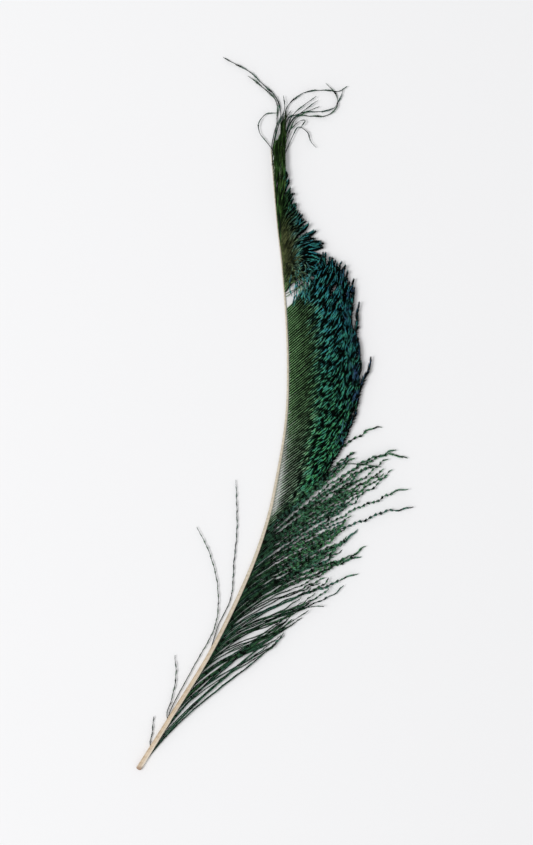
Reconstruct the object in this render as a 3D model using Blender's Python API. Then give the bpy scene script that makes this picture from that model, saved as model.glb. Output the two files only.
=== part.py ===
"""A peacock's sword feather lying flat, at its real size.

The shaft, a cut quill that runs on into a thin rachis, bows gently to one side. Every
long barb grows on its right-hand side, and the barbs cling together in the locks in which
they lie, with open clefts between them. Each lock is one thin closed solid as long as its
barbs, and each single barb that strays to the left is a fine tube.

Frame: +Y runs towards the tip, +X towards the vane, +Z up. The surface that the feather
lies on is z = 0, and the origin is under the middle of the feather.
"""

import math

import bpy
from mathutils import Vector

MM = 0.001

# Shaft: its centreline seen from above, from the cut end to the tip (x, y in mm).
SHAFT_ROUTE = (
    (-68.2, -178.0), (-51.6, -151.5), (-31.2, -118.3), (-14.0, -83.0), (-4.2, -56.4),
    (1.0, -34.4), (6.0, -3.8), (7.0, 22.9), (6.0, 49.9), (4.0, 74.5), (1.5, 96.5),
    (-1.5, 132.0),
)
SHAFT_RADIUS_CUT = 1.3
SHAFT_RADIUS_TIP = 0.25
SHAFT_TAPER = 1.3
SHAFT_STEPS = 5
CUT_SLANT = math.radians(35)
CUT_SETBACK = 1.2
CUTTER_SIZE = 12.0

# Locks of barbs: the stretch of shaft that each grows from (y in mm), then its free outline
# from the upper root round the barb tips to the lower root (x, y in mm).
GAP = 0.35
LOCK_THICKNESS = 2.0
ROOT_STEP = 6.0
LOCKS = {
    "tip_plume": (
        111.4, 131.0,
        ((2.4, 139.0), (4.2, 147.0), (7.5, 151.5), (6.6, 141.0), (7.6, 133.0), (8.0, 123.0)),
    ),
    "upper_vane": (
        60.5, 110.8,
        ((6.8, 119.0), (8.5, 112.0), (10.8, 104.0), (15.0, 96.0), (22.0, 89.0),
         (25.5, 82.0), (22.5, 76.0), (12.0, 67.0)),
    ),
    "main_vane": (
        -52.9, 53.0,
        ((14.5, 60.0), (20.5, 67.5), (24.5, 78.0), (28.0, 80.0), (35.5, 77.0), (40.0, 70.0),
         (42.0, 50.0), (43.5, 35.0), (43.8, 20.0), (42.5, 6.0), (38.5, -8.0), (33.5, -16.0),
         (26.0, -24.5), (17.0, -34.5), (5.5, -46.0)),
    ),
    "herl_lock_1": (
        -75.9, -53.6,
        ((6.5, -47.0), (18.0, -35.7), (27.0, -25.7), (35.0, -17.0), (43.5, -8.0),
         (54.0, -6.5), (55.0, -9.5), (48.0, -14.0), (61.0, -17.0), (67.0, -22.5),
         (57.0, -25.0), (52.5, -31.0), (46.0, -39.5), (31.0, -50.0), (15.0, -60.5),
         (0.0, -70.0)),
    ),
    "herl_lock_2": (
        -90.0, -76.6,
        ((0.0, -71.5), (15.0, -62.0), (31.0, -51.5), (44.0, -42.0), (53.0, -36.0),
         (66.5, -35.5), (67.0, -38.0), (57.0, -42.0), (50.0, -46.5), (42.0, -54.0),
         (28.0, -62.0), (13.0, -73.0), (-1.0, -82.0)),
    ),
    "herl_lock_3": (
        -106.0, -90.7,
        ((-0.5, -83.2), (13.5, -74.2), (28.5, -63.2), (42.5, -55.0), (52.0, -49.0),
         (60.0, -46.5), (68.7, -46.0), (68.6, -47.8), (56.0, -51.5), (41.0, -58.5),
         (35.0, -66.0), (20.0, -76.0), (6.0, -87.5), (-10.0, -96.5)),
    ),
    "herl_lock_4": (
        -122.0, -106.7,
        ((-9.5, -97.8), (6.5, -88.8), (20.5, -77.3), (33.0, -69.5), (45.5, -65.0),
         (46.0, -67.5), (37.0, -73.5), (41.5, -79.0), (33.0, -84.0), (22.0, -89.5),
         (12.0, -96.0), (0.0, -102.5), (-14.0, -110.5)),
    ),
    "base_barbs": (
        -175.0, -122.7,
        ((-13.5, -111.8), (0.5, -103.8), (12.5, -97.3), (22.5, -91.0), (29.5, -89.5),
         (24.0, -95.5), (12.0, -102.0), (5.0, -109.5), (-8.0, -121.5), (-24.0, -135.5),
         (-41.0, -150.5), (-55.0, -165.5)),
    ),
}

# Single barbs and wisps: hand-chosen points of each centreline, root first (x, y in mm).
BARB_RADIUS = 0.4
BARB_STEPS = 4
BARBS = {
    "stray_barb_1": ((-61.8, -163.5), (-61.0, -160.0), (-60.0, -151.0)),
    "stray_barb_2": ((-53.6, -149.0), (-51.3, -143.0), (-49.0, -131.5), (-49.5, -120.5)),
    "stray_barb_3": (
        (-50.1, -144.5), (-39.5, -125.0), (-29.5, -106.0), (-28.0, -87.5), (-32.0, -70.0),
        (-38.5, -56.5),
    ),
    "stray_barb_4": (
        (-27.8, -105.5), (-21.5, -91.5), (-20.0, -74.0), (-18.5, -56.5), (-19.0, -33.0),
    ),
    "tip_wisp_left": (
        (3.0, 148.0), (2.3, 155.5), (0.2, 159.3), (-5.5, 165.5), (-10.0, 168.8),
        (-17.0, 173.4), (-25.2, 177.7),
    ),
    "tip_wisp_right": (
        (7.9, 153.0), (10.8, 157.6), (16.5, 160.9), (27.0, 161.5), (32.0, 161.2), (36.3, 163.5),
    ),
}

# Colour, roughness and metallic value of each kind of piece.
LOOKS = {
    "horn": ((0.68, 0.53, 0.38), 0.45, 0.0),
    "green_barbs": ((0.03, 0.11, 0.04), 0.40, 0.3),
    "dark_herl": ((0.015, 0.05, 0.03), 0.50, 0.2),
}


def clear_scene():
    for found in list(bpy.data.objects):
        bpy.data.objects.remove(found, do_unlink=True)


def make_collection(name):
    made = bpy.data.collections.new(name)
    bpy.context.scene.collection.children.link(made)
    return made


def make_material(name):
    colour, roughness, metallic = LOOKS[name]
    made = bpy.data.materials.new(name)
    made.use_nodes = True
    shader = made.node_tree.nodes["Principled BSDF"]
    shader.inputs["Base Color"].default_value = (*colour, 1.0)
    shader.inputs["Roughness"].default_value = roughness
    shader.inputs["Metallic"].default_value = metallic
    return made


def smooth_path(route, steps):
    """Catmull-Rom curve through the route, as a list of points with `steps` to a stretch."""
    points = [Vector(point) for point in route]
    ends = [2 * points[0] - points[1], *points, 2 * points[-1] - points[-2]]
    path = []
    for before, start, end, after in zip(ends, ends[1:], ends[2:], ends[3:]):
        for step in range(steps):
            t = step / steps
            path.append(
                0.5 * (2 * start + (end - before) * t
                       + (2 * before - 5 * start + 4 * end - after) * t ** 2
                       + (3 * start - before - 3 * end + after) * t ** 3)
            )
    return [*path, points[-1]]


def shaft_radius(fraction):
    """Radius at a fraction of the way from the cut end to the tip."""
    return SHAFT_RADIUS_TIP + (SHAFT_RADIUS_CUT - SHAFT_RADIUS_TIP) * (1 - fraction) ** SHAFT_TAPER


def shaft_side(path, y):
    """The point on the shaft's right-hand flank, a gap clear of it, level with y."""
    index = next(i for i in range(1, len(path)) if path[i].y >= y)
    start, end = path[index - 1], path[index]
    part = (y - start.y) / (end.y - start.y)
    along = (end - start).normalized()
    radius = shaft_radius((index - 1 + part) / (len(path) - 1))
    return start.lerp(end, part) + Vector((along.y, -along.x)) * (radius + GAP)


def curve_object(name, path, radii, collection):
    """A round tube along a flat path that lies on z = 0, with its caps filled."""
    data = bpy.data.curves.new(name, "CURVE")
    data.dimensions = "3D"
    data.bevel_depth = MM
    data.bevel_resolution = 2
    data.use_fill_caps = True
    spline = data.splines.new("POLY")
    spline.points.add(len(path) - 1)
    for point, place, radius in zip(spline.points, path, radii):
        point.co = (place.x * MM, place.y * MM, radius * MM, 1.0)
        point.radius = radius
    made = bpy.data.objects.new(name, data)
    collection.objects.link(made)
    return made


def mesh_from(curve, collection):
    """The curve object as a welded mesh object of the same name, in its place."""
    name = curve.name
    bpy.context.view_layer.update()
    evaluated = curve.evaluated_get(bpy.context.evaluated_depsgraph_get())
    mesh = bpy.data.meshes.new_from_object(evaluated)
    bpy.data.objects.remove(curve, do_unlink=True)
    made = bpy.data.objects.new(name, mesh)
    collection.objects.link(made)
    weld = made.modifiers.new("Weld caps", "WELD")
    weld.merge_threshold = 0.00001
    return made


def make_shaft(path, collection, cutters):
    """The quill and rachis in one tapering rod, cut off on a slant at the thick end."""
    last = len(path) - 1
    radii = [shaft_radius(index / last) for index in range(last + 1)]
    shaft = mesh_from(curve_object("shaft", path, radii, collection), collection)
    outward = (path[0] - path[1]).normalized().to_3d()
    facing = (outward * math.cos(CUT_SLANT) + Vector((0, 0, math.sin(CUT_SLANT)))).normalized()
    on_cut = path[0].to_3d() - outward * CUT_SETBACK + Vector((0, 0, SHAFT_RADIUS_CUT))
    bpy.ops.mesh.primitive_cube_add(size=CUTTER_SIZE * MM)
    cutter = bpy.context.active_object
    cutter.name = "slant_cutter"
    cutter.location = (on_cut + facing * CUTTER_SIZE / 2) * MM
    cutter.rotation_euler = facing.to_track_quat("Z", "Y").to_euler()
    cutter.hide_render = True
    cutter.display_type = "WIRE"
    for holder in list(cutter.users_collection):
        holder.objects.unlink(cutter)
    cutters.objects.link(cutter)
    cut = shaft.modifiers.new("Slanted cut", "BOOLEAN")
    cut.operation = "DIFFERENCE"
    cut.object = cutter
    return shaft


def make_lock(name, path, collection):
    """A lock of barbs as one slab: its root edge follows the shaft, the rest its outline."""
    low, high, outline = LOCKS[name]
    stations = max(2, round((high - low) / ROOT_STEP) + 1)
    roots = [shaft_side(path, low + (high - low) * i / (stations - 1)) for i in range(stations)]
    data = bpy.data.curves.new(name, "CURVE")
    data.dimensions = "2D"
    data.fill_mode = "BOTH"
    data.extrude = LOCK_THICKNESS / 2 * MM
    corners = [*roots, *(Vector(corner) for corner in outline)]
    spline = data.splines.new("POLY")
    spline.points.add(len(corners) - 1)
    spline.use_cyclic_u = True
    for point, corner in zip(spline.points, corners):
        point.co = (corner.x * MM, corner.y * MM, 0.0, 1.0)
    made = bpy.data.objects.new(name, data)
    made.location.z = LOCK_THICKNESS / 2 * MM
    collection.objects.link(made)
    return made


def make_barb(name, collection):
    path = smooth_path(BARBS[name], BARB_STEPS)
    return curve_object(name, path, [BARB_RADIUS] * len(path), collection)


def main():
    clear_scene()
    feather = make_collection("peacock_feather")
    cutters = make_collection("cutters")
    materials = {name: make_material(name) for name in LOOKS}
    shaft_path = smooth_path(SHAFT_ROUTE, SHAFT_STEPS)
    make_shaft(shaft_path, feather, cutters).data.materials.append(materials["horn"])
    for name in LOCKS:
        look = "green_barbs" if name.endswith("_vane") else "dark_herl"
        make_lock(name, shaft_path, feather).data.materials.append(materials[look])
    for name in BARBS:
        make_barb(name, feather).data.materials.append(materials["dark_herl"])


main()
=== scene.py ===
# %% [markdown]
# # A peacock's sword feather
#
# A sword feather grows along the edge of a peacock's train. It has no eye: its shaft bows
# like a sabre, and the long barbs stand on one side of it only. Each barb is a thin stem
# with two rows of tiny blades, the barbules, and the barbules carry the colour.
#
# The packed model is loaded first. Its solids mark where the shaft and every lock of barbs
# lie. The shaft is then made anew with its slanted cut, and each lock is replaced by the
# barbs themselves.

# %% Load the frame
import math

import bpy
import numpy as np
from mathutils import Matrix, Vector


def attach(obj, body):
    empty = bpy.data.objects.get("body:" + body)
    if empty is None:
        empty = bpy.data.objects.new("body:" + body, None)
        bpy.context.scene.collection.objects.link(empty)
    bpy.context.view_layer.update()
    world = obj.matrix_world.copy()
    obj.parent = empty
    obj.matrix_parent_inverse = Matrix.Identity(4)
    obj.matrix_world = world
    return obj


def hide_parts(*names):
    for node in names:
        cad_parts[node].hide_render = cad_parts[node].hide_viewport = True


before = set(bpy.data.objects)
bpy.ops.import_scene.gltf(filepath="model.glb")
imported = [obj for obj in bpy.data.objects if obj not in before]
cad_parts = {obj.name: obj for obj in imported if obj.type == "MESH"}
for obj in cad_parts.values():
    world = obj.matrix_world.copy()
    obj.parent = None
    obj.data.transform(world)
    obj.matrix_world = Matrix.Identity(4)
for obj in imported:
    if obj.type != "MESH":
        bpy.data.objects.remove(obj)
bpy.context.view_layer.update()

MM = 0.001
rng = np.random.default_rng(11)
print("nodes:", sorted(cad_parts))

# %% [markdown]
# ## The line of the shaft
#
# Everything on the feather is placed by the shaft, so its line comes first. The points are
# those of the model's shaft, seen from above, from the cut quill to the tip. A Catmull-Rom
# curve runs smoothly through them. Lengths in this file are in millimetres until a mesh
# is made.

# %% The shaft's line
SHAFT_ROUTE = np.array([
    (-68.2, -178.0), (-51.6, -151.5), (-31.2, -118.3), (-14.0, -83.0), (-4.2, -56.4),
    (1.0, -34.4), (6.0, -3.8), (7.0, 22.9), (6.0, 49.9), (4.0, 74.5), (1.5, 96.5),
    (-1.5, 132.0),
])


def smooth_path(route, steps):
    """A Catmull-Rom curve through the route, with `steps` points to a stretch."""
    route = np.asarray(route, float)
    ends = np.vstack([2 * route[0] - route[1], route, 2 * route[-1] - route[-2]])
    t = np.linspace(0, 1, steps, endpoint=False)[:, None]
    stretches = [
        0.5 * (2 * b + (c - a) * t + (2 * a - 5 * b + 4 * c - d) * t ** 2
               + (3 * b - a - 3 * c + d) * t ** 3)
        for a, b, c, d in zip(ends, ends[1:], ends[2:], ends[3:])
    ]
    return np.vstack([*stretches, route[-1:]])


shaft_line = smooth_path(SHAFT_ROUTE, 20)
print("shaft line:", len(shaft_line), "points")

# %% [markdown]
# The shaft tapers from the cut quill to the tip, a little faster near the quill. With its
# line and its radius known, one function says where a barb leaves it.

# %% The shaft's radius and heading
SHAFT_RADIUS_CUT = 1.3
SHAFT_RADIUS_TIP = 0.25
SHAFT_TAPER = 1.3


def shaft_radius(fraction):
    """The radius at a fraction of the way to the tip."""
    thinning = (1 - fraction) ** SHAFT_TAPER
    return SHAFT_RADIUS_TIP + (SHAFT_RADIUS_CUT - SHAFT_RADIUS_TIP) * thinning


def shaft_at(y):
    """The shaft's centre, radius and heading (degrees above +X) level with y."""
    x = np.interp(y, shaft_line[:, 1], shaft_line[:, 0])
    fraction = np.interp(y, shaft_line[:, 1], np.linspace(0, 1, len(shaft_line)))
    ahead = np.interp(y + 1, shaft_line[:, 1], shaft_line[:, 0])
    behind = np.interp(y - 1, shaft_line[:, 1], shaft_line[:, 0])
    return x, shaft_radius(fraction), math.degrees(math.atan2(2.0, ahead - behind))


print("level with y = 0: x %.1f, radius %.2f, heading %.0f" % shaft_at(0.0))

# %% [markdown]
# ## The shaft
#
# The quill is a round horn tube, and above it the rachis becomes a firm rod, squarer and
# grooved underneath. From above the difference hardly shows, so the whole shaft is round
# here. By hand one would draw a ring, copy it along the line with a little less size at each
# step, and bridge the rings. That is what happens here: a circle is added at each station,
# turned across the line, and the loops are bridged. All circles go into one mesh, because
# bridging joins loops of the object in edit mode, so an emptied circle is there to hold them.

# %% The shaft as bridged rings
SHAFT_STATIONS = 48
SHAFT_SIDES = 14


def deselect_all():
    """Leave edit mode, with nothing selected."""
    if bpy.context.mode != "OBJECT":
        bpy.ops.object.mode_set(mode="OBJECT")
    bpy.ops.object.select_all(action="DESELECT")


deselect_all()
bpy.ops.mesh.primitive_circle_add(
    vertices=SHAFT_SIDES, radius=SHAFT_RADIUS_CUT * MM, location=(0, 0, 0))
shaft = bpy.context.object
shaft.name = "shaft_horn"
bpy.ops.object.mode_set(mode="EDIT")
bpy.ops.mesh.delete(type="VERT")
for place in np.linspace(0, len(shaft_line) - 1, SHAFT_STATIONS):
    low = min(int(place), len(shaft_line) - 2)
    stretch = shaft_line[low + 1] - shaft_line[low]
    point = shaft_line[low] + stretch * (place - low)
    along = Vector((*stretch, 0)).normalized()
    radius = shaft_radius(place / (len(shaft_line) - 1))
    bpy.ops.mesh.primitive_circle_add(
        vertices=SHAFT_SIDES, radius=radius * MM, location=Vector((*point, radius)) * MM,
        rotation=along.to_track_quat("Z", "Y").to_euler())
bpy.ops.mesh.select_all(action="SELECT")
bpy.ops.mesh.bridge_edge_loops()
bpy.ops.mesh.select_all(action="SELECT")
bpy.ops.mesh.fill_holes(sides=SHAFT_SIDES)
bpy.ops.object.mode_set(mode="OBJECT")
print("rings:", SHAFT_STATIONS, "of", SHAFT_SIDES, "sides")

# %% [markdown]
# The quill was cut off with a blade held at a slant, which leaves an oval end. Bisect does
# the same: a plane through the end throws away what is outside and fills the cut.

# %% The slanted cut
CUT_SLANT = math.radians(35.0)
CUT_BACK = 1.2

inward = shaft_line[3] - shaft_line[0]
cut_at = shaft_line[0] + inward / np.linalg.norm(inward) * CUT_BACK
outward = Vector((*-inward, 0)).normalized()
facing = outward * math.cos(CUT_SLANT) + Vector((0, 0, math.sin(CUT_SLANT)))
bpy.ops.object.mode_set(mode="EDIT")
bpy.ops.mesh.select_all(action="SELECT")
bpy.ops.mesh.bisect(
    plane_co=Vector((*cut_at, SHAFT_RADIUS_CUT)) * MM, plane_no=facing, use_fill=True,
    clear_outer=True)
bpy.ops.mesh.select_all(action="SELECT")
bpy.ops.mesh.normals_make_consistent(inside=False)
bpy.ops.object.mode_set(mode="OBJECT")
bpy.ops.object.shade_smooth_by_angle(angle=math.radians(40))
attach(shaft, "root")
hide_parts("shaft")
print("shaft:", len(shaft.data.polygons), "faces")

# %% [markdown]
# ## How a barb is made
#
# A feather has hundreds of barbs and far more barbules than a mesh can hold. Even thinned
# out there are well over a hundred thousand, so they are worked out with arrays and joined
# in one mesh for each lock, or a few for the largest. A barb is a stem of three sides along
# its path, and a barbule is a slim blade of four faces. The two rows of blades form a
# ribbon. Where the ribbon turns about its stem it shows its face, then its edge, then its
# face again, and from afar that looks like a string of beads.
#
# First the path is cut into even steps, one for each pair of blades. Three directions go
# with each step: along the barb, to its side, and up.

# %% Steps along a barb
def steps_along(path, pitch):
    """For even steps on a path: mm along, fraction, place, and the three directions."""
    reach = np.concatenate([[0], np.cumsum(np.linalg.norm(np.diff(path, axis=0), axis=1))])
    total = reach[-1]
    count = max(8, int(total / pitch))
    s = (np.arange(count) + 0.5) / count * total
    at = np.stack([np.interp(s, reach, path[:, i]) for i in range(3)], 1)
    along = np.gradient(at, axis=0)
    along /= np.linalg.norm(along, axis=1)[:, None]
    side = np.cross(along, (0.0, 0.0, 1.0))
    side /= np.linalg.norm(side, axis=1)[:, None]
    return s, s / total, at, along, side, np.cross(side, along)


trial = np.array([(0.0, 0.0, 0.0), (10.0, 0.0, 0.0)])
print("steps on a barb of 10 mm:", len(steps_along(trial, 0.33)[0]))

# %% [markdown]
# The stem is a tube of three sides, closed at both ends. Rings stand at every fourth step,
# which is enough for its gentle bends.
#
# Four numbers, the marks, travel with every point for the materials: how far along the barb
# it is, how squarely the blade faces up, which sets its painted highlight, a random tone for
# the barb, and how strongly a painted glint shows there. The UV map has a strip for each
# barb: the stem runs along the middle of it, and each row of blades along one edge.

# %% A stem
RING_EVERY = 4
RING_ANGLES = (math.pi / 2, math.pi * 7 / 6, math.pi * 11 / 6)


def stem_strips(t, middle, height):
    """UVs of the stem's sides: three thin strips beside one another."""
    u = 0.01 + 0.98 * t
    strips = []
    for j in range(3):
        low = middle + height * (0.05 * j - 0.075)
        high = low + height * 0.045
        corners = ((u[:-1], low), (u[1:], low), (u[1:], high), (u[:-1], high))
        strips.append(np.stack([
            np.stack([across, np.full(len(across), v)], 1) for across, v in corners], 1))
    return np.concatenate(strips)


def stem_mesh(s, t, at, side, up, radius, shown, tone, middle, height):
    """Points, marks, and the groups of (faces, UVs, material) of one stem."""
    every = np.unique(np.append(np.arange(0, len(at), RING_EVERY), len(at) - 1))
    at, side, up, radius = at[every], side[every], up[every], radius[every]
    rings = len(every)
    points = np.stack([
        at + (side * math.cos(a) + up * math.sin(a)) * radius[:, None]
        for a in RING_ANGLES], 1).reshape(-1, 3)
    marks = np.repeat(np.stack([
        s[every] * 0.01, shown[every], np.full(rings, tone), np.zeros(rings)], 1), 3, axis=0)
    first = (np.arange(rings - 1) * 3)[:, None]
    sides = np.concatenate([
        np.concatenate([first + j, first + 3 + j, first + 3 + (j + 1) % 3,
                        first + (j + 1) % 3], 1) for j in range(3)])
    caps = np.array([(0, 1, 2), (rings * 3 - 3, rings * 3 - 1, rings * 3 - 2)])
    tips = np.array([[(0.0, 0), (0.008, 0), (0.008, 1)], [(0.992, 0), (1.0, 0), (1.0, 1)]])
    tips[:, :, 1] = middle + (tips[:, :, 1] - 0.5) * height * 0.14
    return points, marks, (sides, stem_strips(t[every], middle, height), 0), (caps, tips, 0)


print("a stem's ring has", len(RING_ANGLES), "points")

# %% [markdown]
# A blade is a flat pyramid: two points at the stem, one at its tip, and one raised a little
# between them, so that it catches light like the ridge of a leaf. The two rows are tipped
# against each other in a shallow V, as the rows on a real barb are.

# %% A row of blades
VEE = math.radians(24)
BLADE_RIDGE = 0.07
BLADE_SHORTEST = 0.12
BLADE_FACES = np.array([(0, 1, 2), (1, 3, 2), (3, 0, 2), (0, 3, 1)])


def blade_uvs(count, keep, sign, middle, height):
    """UVs of a row's faces: one cell for each blade, its underside in the cell's corner."""
    cell = 1.0 / count
    start = (np.arange(count) * cell)[keep]
    end = start + cell * 0.92
    near = np.full_like(start, middle + sign * height * 0.10)
    far = np.full_like(start, middle + sign * height * 0.48)
    a, b = np.stack([start, near], 1), np.stack([end, near], 1)
    d = np.stack([(start + end) / 2, far], 1)
    c = (a + b + d) / 3
    corner = np.stack([start, far], 1)
    under = np.stack([a * 0.9 + corner * 0.1, d * 0.9 + corner * 0.1, corner], 1)
    faces = [np.stack(three, 1) for three in ((a, b, c), (b, d, c), (d, a, c))]
    return np.stack([*faces, under], 1).reshape(-1, 3, 2)


def blade_row(at, along, side, up, radius, turn, angle, length, width, sign):
    """A row's points, how squarely each blade faces up, and which are long enough to keep."""
    tilt = (turn + sign * VEE)[:, None]
    wide = side * np.cos(tilt) + up * np.sin(tilt)
    face = up * np.cos(tilt) - side * np.sin(tilt)
    heading = along * np.cos(angle)[:, None] + sign * wide * np.sin(angle)[:, None]
    root = at + sign * wide * (radius * 0.4)[:, None]
    half = along * (width / 2) * sign
    ridge = root + heading * length[:, None] * 0.35 + face * BLADE_RIDGE
    tip = root + heading * length[:, None]
    keep = length > BLADE_SHORTEST
    points = np.stack([root - half, root + half, ridge, tip], 1)[keep].reshape(-1, 3)
    return points, np.abs(np.cos(tilt[:, 0])), keep


print("a blade has", len(BLADE_FACES), "faces")

# %% [markdown]
# A tuft gathers the barbs of one lock and makes one mesh of them. It takes the place of its
# solid in the model, and the two materials tell stems from barbules.

# %% A tuft of barbs
MARKS = ("along", "facing", "tone", "glint")
LOWEST = 0.02


class Tuft:
    """Gathers barbs as arrays, and makes one mesh object of them."""

    def __init__(self, name, barbs):
        self.name, self.rows, self.row, self.count = name, barbs, 0, 0
        self.points, self.faces, self.uvs, self.marks, self.kinds = [], [], [], [], []

    def add(self, points, marks, *groups):
        """Points (n, 3), their marks (n, 4), and groups of (faces, UVs, material)."""
        for faces, uvs, kind in groups:
            self.faces.append(faces + self.count)
            self.uvs.append(uvs)
            self.kinds.append(np.full(len(faces), kind))
        self.points.append(points)
        self.marks.append(marks)
        self.count += len(points)

    def barb(self, path, stem, blade, spread, twist, glint, tone, pitch, width):
        """One barb. The five functions take (mm along, fraction) as arrays."""
        s, t, at, along, side, up = steps_along(path, pitch)
        count = len(s)
        turn, radius, sheen = twist(s, t), stem(s, t), glint(s, t)
        low, high = self.row / self.rows, (self.row + 1) / self.rows
        middle, height = (low + high) / 2, high - low
        self.row += 1
        self.add(*stem_mesh(
            s, t, at, side, up, radius, np.abs(np.cos(turn)), tone, middle, height))
        length = blade(s, t) * rng.uniform(0.85, 1.12, count)
        angle = np.radians(spread(s, t))
        for sign in (1.0, -1.0):
            lean = rng.normal(0, 0.12, count)
            points, shown, keep = blade_row(
                at, along, side, up, radius, turn, angle + lean, length, width, sign)
            marks = np.stack([s * 0.01, shown, np.full(count, tone), sheen], 1)[keep]
            first = np.arange(keep.sum())[:, None, None] * 4
            self.add(
                points, np.repeat(marks, 4, axis=0),
                ((first + BLADE_FACES).reshape(-1, 3),
                 blade_uvs(count, keep, sign, middle, height), 1))

    def build(self, materials, node):
        """The joined mesh, on its body, in place of its CAD node."""
        mesh = bpy.data.meshes.new(self.name)
        points = np.concatenate(self.points)
        points[:, 2] = np.maximum(points[:, 2], LOWEST)
        faces = [face for group in self.faces for face in group.tolist()]
        mesh.from_pydata((points * MM).tolist(), [], faces)
        uvs = np.concatenate([group.reshape(-1, 2) for group in self.uvs])
        mesh.uv_layers.new(name="OFBake").data.foreach_set("uv", uvs.ravel())
        marks = np.concatenate(self.marks).astype(np.float32)
        for column, name in enumerate(MARKS):
            attribute = mesh.attributes.new(name, "FLOAT", "POINT")
            attribute.data.foreach_set("value", marks[:, column].copy())
        for material in materials:
            mesh.materials.append(material)
        mesh.polygons.foreach_set("material_index", np.concatenate(self.kinds))
        mesh.update()
        made = bpy.data.objects.new(self.name, mesh)
        bpy.context.scene.collection.objects.link(made)
        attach(made, "root")
        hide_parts(node)
        mesh.calc_loop_triangles()
        print(self.name + ":", self.row, "barbs,", len(mesh.loop_triangles), "triangles")


print("marks:", MARKS)

# %% [markdown]
# No barb is straight. Its wandering is the sum of two waves, which is smooth but doesn't
# look regular, and a barb's path is drawn as a pen would draw it: step by step, on a heading
# that changes on the way.

# %% Waves and paths
PATH_STEP = 0.5
WANDER_WAVE = 14.0


def ripple(s, wave, phase):
    """A smooth wandering value between about -1 and 1."""
    return 0.6 * np.sin(2 * math.pi * s / wave + phase) + 0.4 * np.sin(
        2 * math.pi * s / (wave * 0.43) + 2.3 * phase)


def barb_path(start, headings, length, wander, phase, lift):
    """A path from start: headings are (fraction, degrees above +X); lift gives the height."""
    s = np.arange(0, length, PATH_STEP)
    t = s / length
    fractions, degrees = zip(*headings)
    strayed = wander * t * ripple(s, WANDER_WAVE, phase)
    angle = np.radians(np.interp(t, fractions, degrees) + strayed)
    x = start[0] + np.cumsum(np.cos(angle)) * PATH_STEP
    y = start[1] + np.cumsum(np.sin(angle)) * PATH_STEP
    return np.stack([x, y, lift(s, t)], 1)


print("ripple at 0, 2 and 4 mm:", ripple(np.array((0.0, 2.0, 4.0)), 10.0, 0.0).round(2))

# %% [markdown]
# ## Materials
#
# One small class wraps a socket, so that shader maths reads as plain arithmetic: each
# operator adds a Math node.

# %% Values in a shader
class Value:
    """A socket whose arithmetic adds Math nodes."""

    def __init__(self, paint, socket):
        self.paint, self.socket = paint, socket

    def _do(self, operation, other, swap=False):
        first, second = (other, self) if swap else (self, other)
        return self.paint.node(
            "ShaderNodeMath", {"operation": operation}, {0: first, 1: second})

    def __add__(self, other):
        return self._do("ADD", other)

    def __sub__(self, other):
        return self._do("SUBTRACT", other)

    def __rsub__(self, other):
        return self._do("SUBTRACT", other, swap=True)

    def __mul__(self, other):
        return self._do("MULTIPLY", other)

    def __pow__(self, other):
        return self._do("POWER", other)

    def most(self, other):
        return self._do("MAXIMUM", other)

    __radd__ = __add__
    __rmul__ = __mul__

    def step(self, low, high):
        """0 below low, 1 above high, and smooth between."""
        return self.paint.node(
            "ShaderNodeMapRange", {"interpolation_type": "SMOOTHSTEP"},
            {"Value": self, "From Min": low, "From Max": high})


print("operators:", [name for name in vars(Value) if name.startswith("__r")])

# %% [markdown]
# A second class holds a material while it is made. One method adds any node: its settings
# first, then the values or links of its sockets. The others name the few nodes used here.

# %% A material under construction
class Paint:
    """A material under construction. The fixed values are sockets that never vary."""

    def __init__(self, name, **fixed):
        self.material = bpy.data.materials.new(name)
        self.material.use_nodes = True
        self.tree = self.material.node_tree
        self.shader = self.tree.nodes["Principled BSDF"]
        for key, value in fixed.items():
            socket = key.replace("_", " ").title().replace("Ior", "IOR")
            self.shader.inputs[socket].default_value = value

    def node(self, kind, settings=None, inputs=None, output=0):
        made = self.tree.nodes.new(kind)
        for key, value in (settings or {}).items():
            setattr(made, key, value)
        for key, value in (inputs or {}).items():
            if isinstance(value, Value):
                self.tree.links.new(value.socket, made.inputs[key])
            else:
                made.inputs[key].default_value = value
        return Value(self, made.outputs[output])

    def mark(self, name):
        """One of the four numbers that travel with a barb's points."""
        return self.node("ShaderNodeAttribute", {"attribute_name": name}, output="Fac")

    def place(self):
        """Object coordinates, and their y in millimetres."""
        spot = self.node("ShaderNodeTexCoord", output="Object")
        return spot, self.node("ShaderNodeSeparateXYZ", inputs={0: spot}, output="Y") * 1000.0

    def noise(self, where, scale, detail=2.0):
        return self.node("ShaderNodeTexNoise", inputs={
            "Vector": where, "Scale": scale, "Detail": detail})

    def mix(self, share, first, second):
        return self.node(
            "ShaderNodeMix", {"data_type": "RGBA"}, {0: share, 6: first, 7: second}, output=2)

    def colour(self, value):
        """Give the shader its Base Color, and hand back the finished material."""
        self.tree.links.new(value.socket, self.shader.inputs["Base Color"])
        return self.material


def rgb(red, green, blue):
    """A colour given as the 0 to 255 values that a screen shows, as linear light."""
    parts = [channel / 255 for channel in (red, green, blue)]
    linear = [p / 12.92 if p <= 0.04045 else ((p + 0.055) / 1.055) ** 2.4 for p in parts]
    return (*linear, 1.0)


print("mid grey on a screen is", round(rgb(128, 128, 128)[0], 3), "in linear light")
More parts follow.
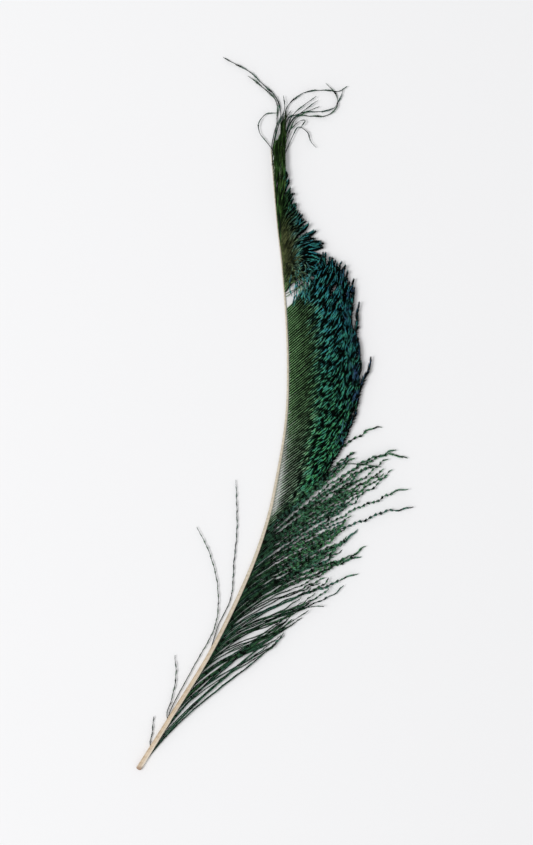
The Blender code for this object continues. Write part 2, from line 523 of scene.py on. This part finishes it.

# %% [markdown]
# ## The colour of the vane
#
# A barbule is near black, and its colour comes from layers far thinner than a hair, so it
# shines only where the ribbon faces up. That could be a colour that changes with the view,
# but the export bakes one colour for each place, so the shine is painted in by the marks: a
# blade that faces up takes the bright colour as a painted highlight, and one on its edge
# keeps the barbule's own near black.
#
# The bright colour runs from leaf green beside the shaft, olive above the cleft, to green
# and teal farther out and blue at the curled edge. Close to the shaft all of it shows, then
# thin lines of it, and farther out painted glints in dashes along the barbs. The dark barbs
# under the vane have a tone of -1, which keeps them dark.

# %% The vane's barbules
def vane_colour():
    paint = Paint("vane_barbules", metallic=0.4, roughness=0.4, specular_ior_level=0.0)
    spot, y = paint.place()
    along, facing = paint.mark("along") * 100.0, paint.mark("facing")
    tone, glint = paint.mark("tone"), paint.mark("glint")
    broad, patch = paint.noise(spot, 200.0), paint.noise(spot, 420.0)
    green = paint.mix(y.step(-40.0, 15.0), rgb(200, 236, 198), rgb(160, 220, 150))
    green = paint.mix(y.step(55.0, 75.0), green, rgb(150, 160, 106))
    green = paint.mix(y.step(88.0, 105.0), green, rgb(92, 144, 84))
    middle = paint.mix(y.step(-20.0, 60.0) * 0.6 + patch.step(0.35, 0.65) * 0.4,
                       rgb(120, 226, 150), rgb(78, 188, 208))
    edge = rgb(92, 132, 178)
    reach = along + (tone - 0.5) * 6.0 + y.step(50.0, 66.0) * 4.0
    bright = paint.mix(reach.step(10.0, 24.0), green, middle)
    bright = paint.mix(reach.step(44.0, 56.0) * broad.step(0.4, 0.6), bright, edge)
    near = 1.0 - reach.step(3.0, 12.0)
    lined = (1.0 - reach.step(14.0, 24.0)) * (0.14 + 0.46 * patch.step(0.35, 0.65))
    # painted glint: dashes of the bright colour along each barb, farther out
    dash = (glint + broad * 0.5).step(0.48, 0.95) * reach.step(8.0, 16.0)
    solid = near * (0.6 + 0.4 * patch.step(0.3, 0.6))
    # painted highlight: the bright colour shows where a blade faces up, and on its edge the
    # barbule's own near black stays
    shown = (facing ** 3.0) * dash.most(lined).most(solid)
    coloured = tone.step(-0.6, -0.1)
    dark = paint.mix(near * coloured.most(0.5), rgb(5, 9, 8), rgb(9, 16, 9))
    return paint.colour(paint.mix(shown * coloured, dark, bright))


vane_barbules = vane_colour()
print("vane:", len(vane_barbules.node_tree.nodes), "nodes")

# %% [markdown]
# ## The colours of the herls and the plume
#
# The loose herls are a duller green, painted as a sheen that shows where the ribbon faces
# up, in patches, and most where it is beaded. The barbs of the plume are olive, painted as a
# highlight where they face up, and darker towards their tips.

# %% The herls' and the plume's barbules
def herl_colour():
    paint = Paint("herl_barbules", metallic=0.3, roughness=0.45, specular_ior_level=0.0)
    spot, _ = paint.place()
    facing, tone, glint = paint.mark("facing"), paint.mark("tone"), paint.mark("glint")
    patch = paint.noise(spot, 500.0, 1.0)
    bright = paint.mix(tone, rgb(86, 142, 92), rgb(74, 122, 108))
    # painted sheen: the green shows where a blade faces up, in patches, and most on the beads
    shown = (facing ** 1.6) * patch.step(0.34, 0.58) * (glint * 0.85 + 0.15)
    return paint.colour(paint.mix(shown, rgb(10, 16, 12), bright))


def plume_colour():
    paint = Paint("plume_barbules", metallic=0.3, roughness=0.45, specular_ior_level=0.0)
    spot, y = paint.place()
    facing, tone = paint.mark("facing"), paint.mark("tone")
    patch = paint.noise(spot, 300.0, 1.0)
    bright = paint.mix(tone, rgb(92, 150, 74), rgb(74, 92, 50))
    # painted highlight: the olive shows where a blade faces up
    shown = (facing ** 3.0) * (0.4 + 0.6 * patch.step(0.3, 0.7))
    shown = shown * (1.0 - y.step(128.0, 150.0) * 0.6)
    return paint.colour(paint.mix(shown, rgb(12, 20, 12), bright))


herl_barbules, plume_barbules = herl_colour(), plume_colour()
print("barbules:", vane_barbules.name, herl_barbules.name, plume_barbules.name)

# %% [markdown]
# ## The colour of the stems
#
# A barb's stem is pale and horny where it leaves the shaft, and within a few millimetres it
# is as dark as its barbules.

# %% The stems
def stem_colour(name, root, tip):
    paint = Paint(name, metallic=0.0, roughness=0.55, specular_ior_level=0.15)
    along, tone = paint.mark("along") * 100.0, paint.mark("tone")
    return paint.colour(paint.mix((along + tone * 2.0).step(0.5, 4.0), root, tip))


VANE = [stem_colour("vane_stems", rgb(66, 84, 44), rgb(12, 20, 14)), vane_barbules]
HERL = [stem_colour("herl_stems", rgb(74, 66, 48), rgb(16, 22, 16)), herl_barbules]
PLUME = [stem_colour("plume_stems", rgb(80, 84, 50), rgb(24, 36, 22)), plume_barbules]
print("stems:", VANE[0].name, HERL[0].name, PLUME[0].name)

# %% [markdown]
# ## The colour of the shaft
#
# Horn is smooth and slightly streaked along its length, so the noise is stretched along the
# quill. The quill is tan and the rachis greyer. Its right flank, chosen by the way the
# surface faces, is painted paler as painted light, and the cut end shows brown.

# %% The shaft's horn
def horn_colour():
    paint = Paint("shaft_horn", roughness=0.42, ior=1.5)
    spot, y = paint.place()
    turned = paint.node("ShaderNodeMapping", inputs={
        "Vector": spot, "Rotation": (0.0, 0.0, -1.05), "Scale": (60.0, 900.0, 900.0)})
    grain = paint.noise(turned, 1.0).step(0.3, 0.7)
    outward = paint.node("ShaderNodeTexCoord", output="Normal")
    right = paint.node("ShaderNodeVectorMath", {"operation": "DOT_PRODUCT"},
                       {0: outward, 1: (0.87, -0.5, 0.0)}, output="Value")
    quill = paint.mix(grain, rgb(178, 156, 128), rgb(204, 184, 158))
    rachis = paint.mix(grain, rgb(170, 160, 140), rgb(200, 190, 170))
    horn = paint.mix(y.step(-150.0, -60.0), quill, rachis)
    lit_flank = paint.mix(y.step(-60.0, 0.0), rgb(242, 228, 208), rgb(208, 202, 184))
    # painted light: the side of the shaft that faces right is painted paler
    horn = paint.mix(right.step(-0.1, 0.7), horn, lit_flank)
    horn = paint.mix(1.0 - y.step(-177.5, -175.0), horn, rgb(150, 118, 90))
    return paint.colour(horn)


shaft.data.materials.clear()
shaft.data.materials.append(horn_colour())
print("shaft:", shaft.data.materials[0].name)

# %% [markdown]
# ## The main vane
#
# The dense vane is about eighty barbs. They leave the shaft at some fifty degrees, lie flat
# and close for a centimetre or two, then twist, wave and curl up along the outer edge. A
# table gives the form at a few roots, and every barb takes its numbers from between them.
#
# Light would show between the barbs, where real ones are held together by tiny hooks. A
# plain dark barb with wide blades under each of them closes those gaps.

# %% Barbs of a vane
def roots(low, high, spacing_low, spacing_high):
    """Root heights from low to high whose spacing changes evenly."""
    found, y = [], low
    while y < high:
        found.append(y)
        spacing = np.interp(y, (low, high), (spacing_low, spacing_high))
        y += spacing * rng.uniform(0.9, 1.1)
    return found


def vane_tuft(name, ys, form, node, bare, backed, wander=20.0, ragged=5.0, straight=20.0,
              full=1.0):
    """Barbs rooted at the heights ys, each with a dark barb under it.

    bare and backed say, for a few root heights, how far from the shaft the blades and the
    dark barb's blades begin. straight is the length of the flat part in mm, full the blades'
    length beyond it, and wander and ragged are the bends and the spread of the tips in
    degrees.
    """
    tuft = Tuft(name, len(ys) * 2)
    for y in ys:
        length, rooted, tipped = (np.interp(y, form[:, 0], form[:, i]) for i in (1, 2, 3))
        length *= rng.uniform(0.92, 1.02)
        tipped += rng.normal(0, ragged)
        x, radius, _ = shaft_at(y)
        phase, shared = rng.uniform(0, 6.28), y * 0.22
        layer = rng.uniform(0.0, 1.0)
        headings = ((0, rooted), (0.35, rooted + 2), (0.62, (rooted + tipped) / 2),
                    (0.88, tipped), (1.0, tipped + 4))
        path = barb_path(
            (x + radius * 0.6, y), headings, length, wander, shared + rng.normal(0, 0.9),
            lambda s, t: 1.1 + radius * 0.4 * (1 - t) + layer * t + 3.0 * t ** 2.5
            + 0.5 * t * ripple(s, 9.0, phase))
        plain = np.interp(y, *bare)
        flat = straight * np.interp(y, (-56, -20, 15, 45, 58), (0.65, 0.8, 1.0, 0.8, 0.4))
        # the length of the painted glint's dashes along this barb
        dash = rng.uniform(6.0, 9.0)
        tuft.barb(
            path,
            stem=lambda s, t: 0.13 * (1 - 0.6 * t),
            blade=lambda s, t: np.clip((s - plain) / 2, 0.5, 1)
            * np.interp(s, (0, flat, flat + 6, 100), (0.36, 0.42, full, full))
            * np.interp(t, (0, 0.75, 1), (1, 1, 0.45)),
            spread=lambda s, t: np.interp(s, (0, flat, flat + 8), (42.0, 38.0, 20.0))
            * (1 - 0.3 * t ** 3),
            twist=lambda s, t: math.radians(30)
            + np.radians(62) * np.clip((s - flat + 6) / 8, 0, 1) * ripple(s, 10.0, phase),
            glint=lambda s, t: 0.5 + 0.5 * ripple(s, dash, phase),
            tone=rng.uniform(), pitch=0.22, width=0.5)
        below = path + (0.0, -0.5, 0.0)
        below[:, 2] = 0.3 + (path[:, 2] - 1.1) * 0.5
        opening = np.interp(y, *backed)
        tuft.barb(
            below,
            stem=lambda s, t: np.full_like(s, 0.08),
            blade=lambda s, t: np.clip((s - opening) / 10.0, 0, 1)
            * np.interp(s, (0, 8, 14, 40), (1.1, 1.2, 1.8, 2.6))
            * np.interp(t, (0, 0.8, 1), (1, 1, 0.3)),
            spread=lambda s, t: np.full_like(s, 42.0),
            twist=lambda s, t: np.zeros_like(s),
            glint=lambda s, t: np.zeros_like(s),
            tone=-1.0, pitch=0.45, width=1.0)
    tuft.build(VANE, node)


print("one barb rises to about", 1.1 + 1.0 + 3.0, "mm at its tip")

# %% [markdown]
# The main vane is made in three parts, so that no mesh grows too heavy.

# %% The main vane
# root y, length, heading at the root, heading at the tip
VANE_FORM = np.array([
    (-56.0, 56.0, 38.0, 66.0), (-43.0, 71.0, 36.0, 76.0), (-20.0, 73.0, 37.0, 87.0),
    (0.0, 67.0, 38.0, 91.0), (20.0, 59.0, 39.0, 88.0), (35.0, 50.0, 40.0, 78.0),
    (45.0, 41.0, 42.0, 76.0), (54.0, 33.0, 44.0, 84.0),
])
VANE_BARE = ((-60, -20, 0), (2.0, 1.0, -2.0))
VANE_BACKED = ((-60, -45, -30, -15, 15), (3.5, 1.5, 0.0, -2.0, -8.0))
VANE_PARTS = 3

vane_roots = roots(-56.0, 53.0, 1.55, 1.2)
cuts = [len(vane_roots) * part // VANE_PARTS for part in range(VANE_PARTS + 1)]
for part, (first, last) in enumerate(zip(cuts, cuts[1:])):
    vane_tuft(f"vane_{part + 1}", vane_roots[first:last], VANE_FORM, "main_vane",
              VANE_BARE, VANE_BACKED)
print("main vane:", len(vane_roots), "barbs")

# %% [markdown]
# ## The upper vane
#
# Above the cleft the barbs are shorter, closer and steeper, with an olive strip by the
# shaft. The lowest of them curl over to the side.

# %% The upper vane
UPPER_FORM = np.array([
    (61.0, 20.0, 54.0, -40.0), (66.0, 26.0, 57.0, -26.0), (72.0, 26.0, 57.0, 2.0),
    (80.0, 20.5, 56.0, 34.0), (90.0, 15.5, 58.0, 48.0), (100.0, 14.0, 62.0, 56.0),
    (112.0, 14.0, 70.0, 64.0),
])
upper_roots = roots(61.0, 110.0, 0.5, 0.8)
vane_tuft("vane_upper", upper_roots, UPPER_FORM, "upper_vane", ((60, 118), (-2.0, -2.0)),
          ((60, 70, 118), (-4.0, -8.0, -8.0)), wander=18.0, ragged=14.0, straight=15.0,
          full=0.85)
print("upper vane:", len(upper_roots), "barbs")

# %% [markdown]
# ## Loose herls
#
# Below the vane the barbs no longer cling together. Each is a long ribbon that twists, and
# the turns look like beads on a string. A real herl hangs in a bow between its root and
# where its tip came to rest, so its path is a Bezier curve: it leaves the shaft on one
# heading and arrives at the tip on another.

# %% A bowed path
def bowed_path(start, leaving, tip, arriving, lift, waver, phase):
    """A path that leaves start and arrives at the tip on the given headings, in degrees."""
    start, tip = np.array(start), np.array(tip)
    span = np.linalg.norm(tip - start)
    out, home = (np.array((math.cos(math.radians(a)), math.sin(math.radians(a))))
                 for a in (leaving, arriving))
    near, far = start + out * span * 0.4, tip - home * span * 0.25
    t = np.linspace(0, 1, int(span * 2))[:, None]
    flat = (start * (1 - t) ** 3 + 3 * near * t * (1 - t) ** 2
            + 3 * far * t ** 2 * (1 - t) + tip * t ** 3)
    across = np.array((-out[1], out[0]))
    flat = flat + across * waver * t * ripple(t * span, 22.0, phase)
    return np.column_stack([flat, lift(t[:, 0] * span, t[:, 0])])


trial = bowed_path((0.0, 0.0), 60.0, (40.0, 30.0), 0.0, lambda s, t: s * 0.0, 0.0, 0.0)
print("a bowed path of", len(trial), "points ends at", trial[-1].round(1))

# %% [markdown]
# The table holds the herls that reach farthest. All others follow the one nearest to them
# and stop short of it. A herl is plain near its root and beaded farther out. It turns a
# whole number of half turns between, so that both ends show their face.

# %% The loose herls
# root y, the tip's x, y and heading, and how far the barbs beside it reach along with it
HERL_REACH = np.array([
    (-167.0, 9.0, -102.5, 42.0, 1.0), (-145.0, 17.0, -98.0, 38.0, 0.97),
    (-130.0, 24.5, -96.0, 0.0, 0.85), (-124.0, 34.8, -85.7, 45.0, 0.8),
    (-120.0, 41.4, -79.4, 25.0, 0.9), (-113.0, 43.7, -71.6, 5.0, 0.8),
    (-109.0, 45.7, -66.0, 45.0, 0.9), (-104.0, 42.0, -58.0, 40.0, 0.95),
    (-96.0, 69.3, -46.5, 5.0, 0.65), (-86.0, 66.4, -37.0, 20.0, 0.7),
    (-74.0, 66.5, -22.0, -25.0, 0.92), (-66.0, 61.0, -18.0, 10.0, 0.95),
    (-60.0, 54.0, -7.0, 0.0, 0.8), (-54.0, 40.0, -22.0, 42.0, 0.85),
])


def herl_tuft(name, low, high, node, spacing=0.68, sparse=0.0):
    """Herls rooted from low to high; sparse widens the spacing at the lower end."""
    ys = roots(low, high, spacing + sparse, spacing)
    tuft = Tuft(name, len(ys))
    for y in ys:
        nearest = HERL_REACH[np.argmin(np.abs(HERL_REACH[:, 0] - y))]
        leads = abs(nearest[0] - y) < spacing / 2
        short = np.interp(y, (-140, -110), (0.26, 0.36))
        share = 1.0 if leads else nearest[4] - rng.uniform(0.0, short)
        x, radius, heading = shaft_at(y)
        root = np.array((x + radius * 0.6, y))
        tip = root + (nearest[1:3] + (0.0, (y - nearest[0]) * 0.5) - root) * share
        full, smooth_end = (1.3, 9.0) if leads else (1.1, 2.0)
        # least_glint: a random least share of painted sheen for each herl, before its beads
        lay, least_glint = rng.uniform(-0.6, 0.6), rng.uniform(0.0, 0.7)
        phase, bead = rng.uniform(0, 6.28), rng.uniform(2.3, 3.2)
        layer = rng.uniform(0.0, 2.2)
        leaving = heading - np.interp(y, (-165, -120, -60), (5, 11, 30)) + rng.normal(0, 2.0)
        usual = np.interp(y, (-165, -120, -60), (44, 38, 34))
        arriving = nearest[3] if leads else usual + rng.normal(0, 9)
        path = bowed_path(
            root, leaving, tip, arriving,
            lambda s, t: 0.7 + layer * np.minimum(1, s / 10) + 0.5 * t * ripple(s, 20.0, phase),
            np.interp(y, (-140, -100), (0.2, 1.0)), phase)
        beaded = np.interp(y, (-165, -125, -112, -95, -60), (88.0, 70.0, 52.0, 28.0, 14.0))
        last = np.linalg.norm(np.diff(path, axis=0), axis=1).sum() - smooth_end
        first = min(beaded - 8, last - bead)
        bead = (last - first) / max(1, round((last - first) / bead))

        def turned(s):
            """The ribbon's turn: it twists only between the plain root and the smooth end."""
            return lay + math.pi * (np.clip(s, first, last) - first) / bead

        tuft.barb(
            path,
            stem=lambda s, t: 0.22 * (1 - 0.5 * t),
            blade=lambda s, t: np.interp(
                s, (0, beaded - 8, beaded + 6, 200), (0.45, 0.75, full, full))
            * (1 - np.clip((s - beaded + 8) / 14, 0, 0.85) * (1 - np.abs(np.cos(turned(s)))))
            * np.interp(t, (0, 0.96, 1), (1, 1, 0.3)),
            spread=lambda s, t: np.interp(s, (beaded - 8, beaded + 6), (32.0, 50.0))
            - 20.0 * (s > last),
            twist=lambda s, t: turned(s),
            glint=lambda s, t: np.clip((s - beaded + 8) / 14, least_glint, 1),
            tone=rng.uniform(), pitch=0.26, width=0.8)
    tuft.build(HERL, node)


herl_tuft("herls_1", -76.0, -53.0, "herl_lock_1")
herl_tuft("herls_2", -90.0, -76.0, "herl_lock_2")
herl_tuft("herls_3", -106.0, -90.0, "herl_lock_3")
herl_tuft("herls_4", -122.0, -106.0, "herl_lock_4", spacing=0.8)
herl_tuft("herls_5", -176.0, -122.0, "base_barbs", spacing=0.85, sparse=2.2)

# %% [markdown]
# ## Stray barbs and wisps
#
# A few barbs stand alone: four on the bare side of the shaft, and the long wisps that bow
# over at the tip. Each follows a route of its own.

# %% Stray barbs
def strand_tuft(name, routes, node, blade=1.0, stem=0.24, bead=4.0, height=0.8, look=HERL):
    """Single barbs along routes of (x, y) points, root first."""
    tuft = Tuft(name, len(routes))
    for route in routes:
        flat = smooth_path(route, 12)
        phase = rng.uniform(0, 6.28)
        rise = np.interp(np.linspace(0, 1, len(flat)), (0, 0.2, 1), (0.8, height, height))
        tuft.barb(
            np.column_stack([flat, rise + 0.4 * rng.uniform()]),
            stem=lambda s, t: stem * (1 - 0.6 * t),
            blade=lambda s, t: blade * np.interp(
                t, (0, 0.2, 0.5, 0.9, 1), (0.3, 0.6, 1, 1, 0.3)),
            spread=lambda s, t: np.full_like(s, 24.0),
            twist=lambda s, t: phase + math.pi * s / bead,
            glint=lambda s, t: np.full_like(s, 0.5),
            tone=rng.uniform(), pitch=0.24, width=0.6)
    tuft.build(look, node)


STRAYS = {
    "stray_barb_1": ((-61.6, -168.0), (-61.8, -163.5), (-61.0, -160.0), (-60.0, -151.0)),
    "stray_barb_2": (
        (-53.0, -154.0), (-53.4, -149.0), (-51.3, -143.0), (-49.0, -131.5), (-49.5, -120.5)),
    "stray_barb_3": (
        (-53.0, -152.0), (-50.1, -144.5), (-39.5, -125.0), (-29.5, -106.0), (-28.0, -87.5),
        (-32.0, -70.0), (-38.5, -56.5)),
    "stray_barb_4": (
        (-31.4, -117.0), (-27.8, -105.5), (-21.5, -91.5), (-20.0, -74.0), (-18.5, -56.5),
        (-19.0, -33.0)),
}
for name, route in STRAYS.items():
    strand_tuft(name.replace("stray", "loose"), [route], name, blade=0.95, stem=0.25)

# %% [markdown]
# The wisps are the same kind of strand with longer, slower turns.

# %% The wisps at the tip
LEFT_WISPS = (
    ((-1.5, 132.0), (0.5, 142.0), (3.4, 149.5), (1.0, 158.0), (-6.0, 165.2), (-13.0, 171.3),
     (-25.2, 178.0)),
    ((-1.0, 131.0), (1.5, 146.0), (0.8, 156.5), (-6.0, 163.5), (-13.0, 168.8)),
)
RIGHT_WISPS = (
    ((1.0, 130.0), (5.0, 143.0), (6.0, 152.0), (10.4, 157.5), (16.5, 161.0), (27.0, 161.6),
     (32.0, 161.2), (36.6, 163.6)),
    ((2.0, 128.0), (6.3, 146.3), (11.4, 149.4), (16.5, 150.9), (24.2, 151.2), (29.8, 152.7),
     (31.9, 155.5), (33.9, 160.0), (34.4, 162.6)),
    ((2.0, 126.0), (9.0, 147.0), (19.0, 148.6), (25.2, 148.9), (29.3, 150.9), (31.9, 154.5),
     (31.3, 159.0), (28.8, 162.1), (26.0, 165.0)),
)
strand_tuft("wisps_left", LEFT_WISPS, "tip_wisp_left", blade=1.35, bead=9.0)
strand_tuft("wisps_right", RIGHT_WISPS, "tip_wisp_right", blade=1.2, bead=9.0)

# %% [markdown]
# ## The tip plume
#
# The last barbs lie along the shaft and run on past its tip in one narrow bundle. Four in
# ten of them go on a little farther, so the bundle frays, and a few thin ones curl away.

# %% The bundle
PLUME_BARBS = 34
PLUME_ROOT = 84.0
PLUME_SPACING = 1.4
SHAFT_END = 133.0

plume = []
for number in range(PLUME_BARBS):
    root_y = PLUME_ROOT + number * PLUME_SPACING
    half_y = root_y + (SHAFT_END - root_y) * 0.5
    x, radius, _ = shaft_at(root_y)
    across = rng.uniform(-1.0, 1.0)
    ahead = shaft_at(half_y)[0]
    route = [(x + radius, root_y), (ahead + 3.1 + across * 2.3, half_y),
             (3.0 + across * 2.8, SHAFT_END), (4.4 + across * 1.2, rng.uniform(137.0, 142.0))]
    if rng.uniform() < 0.4:
        route.append((4.8 + across * 1.4, rng.uniform(144.0, 151.0)))
    plume.append(route)
strand_tuft("plume_bundle", plume, "tip_plume", blade=1.5, stem=0.25, bead=16.0, height=3.2,
            look=PLUME)

# %% [markdown]
# The thin ones each have a route, as the wisps do.

# %% Curled ends of the plume
PLUME_WISPS = (
    ((-1.0, 124.0), (0.2, 136.0), (3.0, 146.0), (5.2, 152.5), (4.8, 158.8)),
    ((1.0, 126.0), (3.0, 138.0), (5.5, 147.0), (8.5, 151.5)),
    ((3.0, 128.0), (7.0, 140.0), (12.5, 146.0), (15.5, 146.3), (13.0, 142.7)),
    ((4.0, 126.0), (8.5, 137.0), (12.0, 143.0), (16.5, 140.7), (18.5, 136.0), (21.0, 133.0)),
    ((2.0, 128.0), (6.0, 141.0), (9.0, 148.4), (14.0, 153.5), (21.0, 158.5)),
    ((2.5, 127.0), (6.5, 141.0), (10.0, 147.5), (15.0, 151.6), (22.0, 156.6)),
    ((3.0, 127.0), (7.5, 140.0), (10.5, 147.0), (16.0, 150.6), (22.6, 153.4)),
    ((0.0, 131.0), (-3.0, 135.0), (-7.0, 140.0), (-7.6, 145.0), (-4.0, 149.6), (2.0, 150.4)),
)
strand_tuft("plume_wisps", PLUME_WISPS, "tip_plume", blade=0.9, stem=0.22, bead=9.0,
            height=1.6)

# %% [markdown]
# ## Strands across the clefts
#
# Between the two vanes is a cleft with a small open window beside the shaft. A few barbs
# cross it: some reach up and out from its lower end, and some have come loose above and hang
# down over it. One more herl lies across the main vane's lower edge.

# %% Strands across the clefts
CLEFT_STRANDS = [
    ((5.2, 75.0), (9.5, 76.5), (8.4, 70.0), (8.0, 62.0), (9.0, 58.5)),
    ((5.8, 70.0), (11.0, 75.0), (14.0, 70.0), (14.6, 63.5), (12.0, 57.0)),
    ((6.0, 66.0), (10.0, 69.5), (13.0, 67.0), (15.5, 60.0)),
    ((6.0, 58.5), (10.5, 61.5), (15.0, 66.0), (19.0, 69.0)),
    ((5.8, 60.0), (12.0, 63.0), (17.5, 68.0), (22.0, 74.0)),
    ((5.6, 64.0), (13.0, 67.0), (19.0, 71.0), (23.0, 78.0)),
]
ACROSS = ((24.0, -30.0), (28.0, -26.9), (36.0, -25.0), (45.5, -25.3), (53.6, -26.4))

for root_y in np.arange(61.0, 74.0, 1.2):
    x = shaft_at(root_y)[0]
    over = rng.uniform(9.0, 18.0)
    hanging = over + rng.uniform(-1.0, 1.5)
    CLEFT_STRANDS.append((
        (x, root_y), ((x + over) / 2, root_y + 5.0), (over, root_y + 1.5), (hanging, 61.0),
        (over + rng.uniform(-3.0, 3.0), rng.uniform(53.0, 57.0))))
strand_tuft("herl_across", [ACROSS], "herl_lock_1", blade=1.0, bead=20.0, height=4.2)
strand_tuft("cleft_strands", CLEFT_STRANDS, "upper_vane", blade=1.1, stem=0.22, bead=6.0,
            height=2.8, look=VANE)

# %% [markdown]
# ## Floor and light
#
# The feather lies on a plain pale surface. One large soft light stands at the upper left,
# and a pale world fills the shadows.

# %% Floor and light
KEY_WATTS = 49.0
WORLD_STRENGTH = 0.60

deselect_all()
bpy.ops.mesh.primitive_plane_add(size=4.0, location=(0, 0, -0.0002))
floor = bpy.context.object
floor.name = "floor"
surface = Paint("floor_paper", roughness=0.9)
surface.shader.inputs["Base Color"].default_value = (0.86, 0.86, 0.87, 1)
floor.data.materials.append(surface.material)

world = bpy.data.worlds.new("studio")
world.use_nodes = True
world.node_tree.nodes["Background"].inputs["Color"].default_value = (1, 1, 1, 1)
world.node_tree.nodes["Background"].inputs["Strength"].default_value = WORLD_STRENGTH
bpy.context.scene.world = world
bpy.context.scene.view_settings.view_transform = "Standard"

bpy.ops.object.light_add(type="AREA", location=(-1.5, -0.2, 2.6))
key = bpy.context.object
key.data.shape = "DISK"
key.data.size = 1.2
key.data.energy = KEY_WATTS
key.rotation_euler = (-key.location).to_track_quat("-Z", "Y").to_euler()
print("light:", KEY_WATTS, "W, world:", WORLD_STRENGTH)

# %% [markdown]
# ## Camera
#
# The camera looks straight down. A long lens from high up keeps the edges of the view from
# leaning. Its height follows from the lens and from how much it should show.

# %% Camera
LENS = 85.0
SENSOR = 36.0
VIEW_HEIGHT = 422.5
CENTRE = (-3.75, -4.25)

camera_height = VIEW_HEIGHT * LENS / SENSOR * MM
bpy.ops.object.camera_add(
    location=(CENTRE[0] * MM, CENTRE[1] * MM, camera_height), rotation=(0, 0, 0))
camera = bpy.context.object
camera.data.lens = LENS
camera.data.sensor_width = SENSOR
camera.data.clip_end = 20.0
bpy.context.scene.camera = camera
print("camera: %.2f m up" % camera_height)

# %% [markdown]
# ## Sizes
#
# The barbs may pass the box of the packed model a little, because the solids are flat slabs
# and real barbs curl up.
